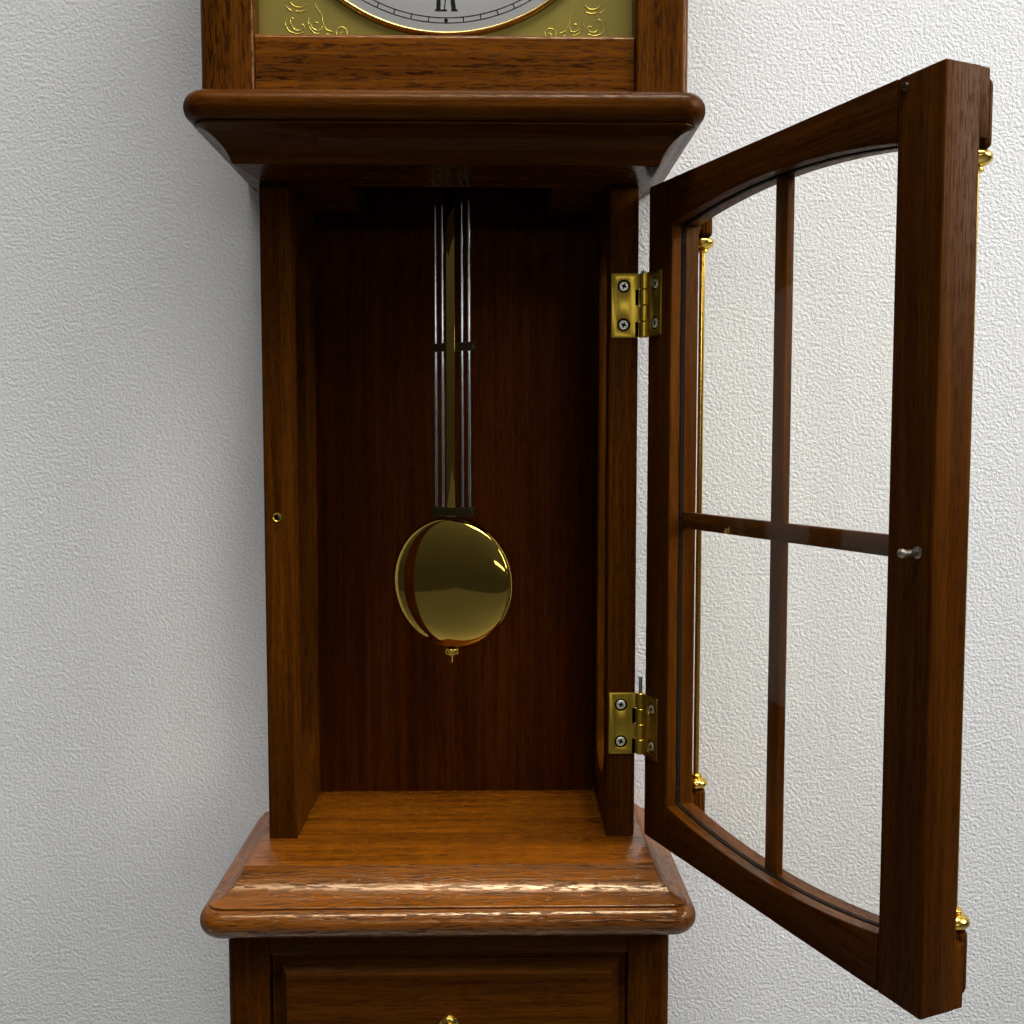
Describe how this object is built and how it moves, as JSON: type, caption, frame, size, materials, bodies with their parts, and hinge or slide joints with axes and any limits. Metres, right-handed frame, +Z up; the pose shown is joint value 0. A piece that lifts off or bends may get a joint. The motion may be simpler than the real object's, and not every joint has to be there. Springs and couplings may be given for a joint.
{
  "type": "pendulum wall clock",
  "caption": "Oak wall clock: hood with square brass dial, glazed hinged waist door with brass columns, swinging pendulum, toothed movement and a small base drawer.",
  "frame": {"origin": "on the wall plane, the rear face of the back board, straight behind the hand arbor at the dial's centre", "axes": "+Z up, +Y into the wall, +X to the viewer's right; the clock's front faces -Y"},
  "size_m": [0.4106, 0.3188, 0.9385],
  "materials": {
    "oak": "satin varnish over warm brown stain",
    "oak_inside": "dull dark reddish stain",
    "brass": "polished and lacquered",
    "brushed_brass": "brushed, a little tarnished",
    "silvered_dial": "silvered",
    "steel": "bright drawn",
    "dark_bronze": "dark patina",
    "blackened_steel": "blackened",
    "glass": "clear"
  },
  "bodies": {
    "case": {"back_board": "oak_inside", "plinth_board": "oak", "hood_board": "oak", "cornice_board": "oak", "foot_board": "oak", "waist_side_left": "oak", "waist_side_right": "oak", "side_glass_left": "glass", "side_glass_right": "glass", "hood_side_left": "oak", "hood_side_right": "oak", "hood_bottom_rail": "oak", "hood_top_rail": "oak", "base_front_frame": "oak", "base_side_left": "oak", "base_side_right": "oak", "dial_plate": "brushed_brass", "chapter_disc": "silvered_dial", "dial_bezel": "brass", "movement_front_plate": "brass", "movement_back_plate": "brass", "hinge_leaf_upper": "brass", "hinge_leaf_lower": "brass", "hinge_pin_upper": "steel", "hinge_pin_lower": "steel"},
    "door": {"door_stile_hinge": "oak", "door_stile_latch": "oak", "door_top_rail": "oak", "door_bottom_rail": "oak", "door_muntin_upright": "oak", "door_muntin_cross": "oak", "door_glass": "glass", "column_rod_hinge": "brass", "column_rod_latch": "brass", "door_leaf_upper": "brass", "door_leaf_lower": "brass", "catch_pin": "brass"},
    "drawer": {"drawer_front": "oak", "drawer_tray": "oak_inside", "drawer_knob": "brass"},
    "pendulum": {"pendulum_head": "dark_bronze", "pendulum_rod_1": "steel", "pendulum_rod_2": "steel", "pendulum_rod_3": "steel", "pendulum_rod_4": "steel", "pendulum_strip": "brass", "pendulum_crossbar": "dark_bronze", "pendulum_foot": "dark_bronze"},
    "bob": {"pendulum_bob": "brass"},
    "nut": {"rating_nut": "brass"},
    "minute_work": {"centre_wheel": "brass", "minute_hand": "blackened_steel"},
    "hour_work": {"hour_wheel": "brass", "hour_hand": "blackened_steel"},
    "motion_wheel": {"minute_wheel": "brass"},
    "third": {"third_wheel": "brass"},
    "escape": {"escape_wheel": "brass"},
    "anchor": {"anchor": "steel"},
    "intermediate": {"intermediate_wheel": "brass"},
    "barrel": {"going_barrel": "brass"}
  },
  "joints": [
    {"name": "door_swing", "type": "hinge", "parent": "case", "child": "door", "pos_m": [0.1213, -0.0982, -0.3855], "axis": [0, 0, 1], "range_deg": [-112.3, 62]},
    {"name": "drawer_slide", "type": "slide", "parent": "case", "child": "drawer", "axis": [0, -1, 0], "range_m": [0, 0.085]},
    {"name": "minute_turn", "type": "hinge", "parent": "case", "child": "minute_work", "pos_m": [0, -0.1, 0], "axis": [0, 1, 0], "continuous": true},
    {"name": "hour_turn", "type": "hinge", "parent": "case", "child": "hour_work", "pos_m": [0, -0.1, 0], "axis": [0, 1, 0], "continuous": true},
    {"name": "motion_turn", "type": "hinge", "parent": "case", "child": "motion_wheel", "pos_m": [-0.00849, -0.1, -0.00849], "axis": [0, 1, 0], "continuous": true},
    {"name": "third_turn", "type": "hinge", "parent": "case", "child": "third", "pos_m": [-0.01528, -0.1, 0.01282], "axis": [0, 1, 0], "continuous": true},
    {"name": "escape_turn", "type": "hinge", "parent": "case", "child": "escape", "pos_m": [0, -0.1, 0.02321], "axis": [0, 1, 0], "continuous": true},
    {"name": "intermediate_turn", "type": "hinge", "parent": "case", "child": "intermediate", "pos_m": [0.0193, -0.1, -0.0162], "axis": [0, 1, 0], "continuous": true},
    {"name": "barrel_turn", "type": "hinge", "parent": "case", "child": "barrel", "pos_m": [-0.00445, -0.1, -0.03996], "axis": [0, 1, 0], "continuous": true},
    {"name": "pendulum_swing", "type": "hinge", "parent": "case", "child": "pendulum", "pos_m": [0, -0.065, 0.03877], "axis": [0, 1, 0], "range_deg": [-4, 4]},
    {"name": "anchor_rock", "type": "hinge", "parent": "case", "child": "anchor", "pos_m": [0, -0.1, 0.03877], "axis": [0, 1, 0], "range_deg": [-4.5, 4.5]},
    {"name": "bob_slide", "type": "slide", "parent": "pendulum", "child": "bob", "axis": [0, 0, 1], "range_m": [-0.005, 0]},
    {"name": "nut_turn", "type": "hinge", "parent": "bob", "child": "nut", "pos_m": [-0.00098, -0.06719, -0.477], "axis": [0, 0, 1], "range_deg": [-2295, 45]}
  ],
  "couplings": [
    {"joint": "hour_turn", "follows": "minute_turn", "ratio": 0.083333},
    {"joint": "motion_turn", "follows": "minute_turn", "ratio": -0.33333},
    {"joint": "third_turn", "follows": "minute_turn", "ratio": -9},
    {"joint": "escape_turn", "follows": "minute_turn", "ratio": 90},
    {"joint": "intermediate_turn", "follows": "minute_turn", "ratio": -0.16667},
    {"joint": "barrel_turn", "follows": "minute_turn", "ratio": 0.02381},
    {"joint": "anchor_rock", "follows": "pendulum_swing", "ratio": 1},
    {"joint": "nut_turn", "follows": "bob_slide", "rad_per_m": 7854}
  ]
}
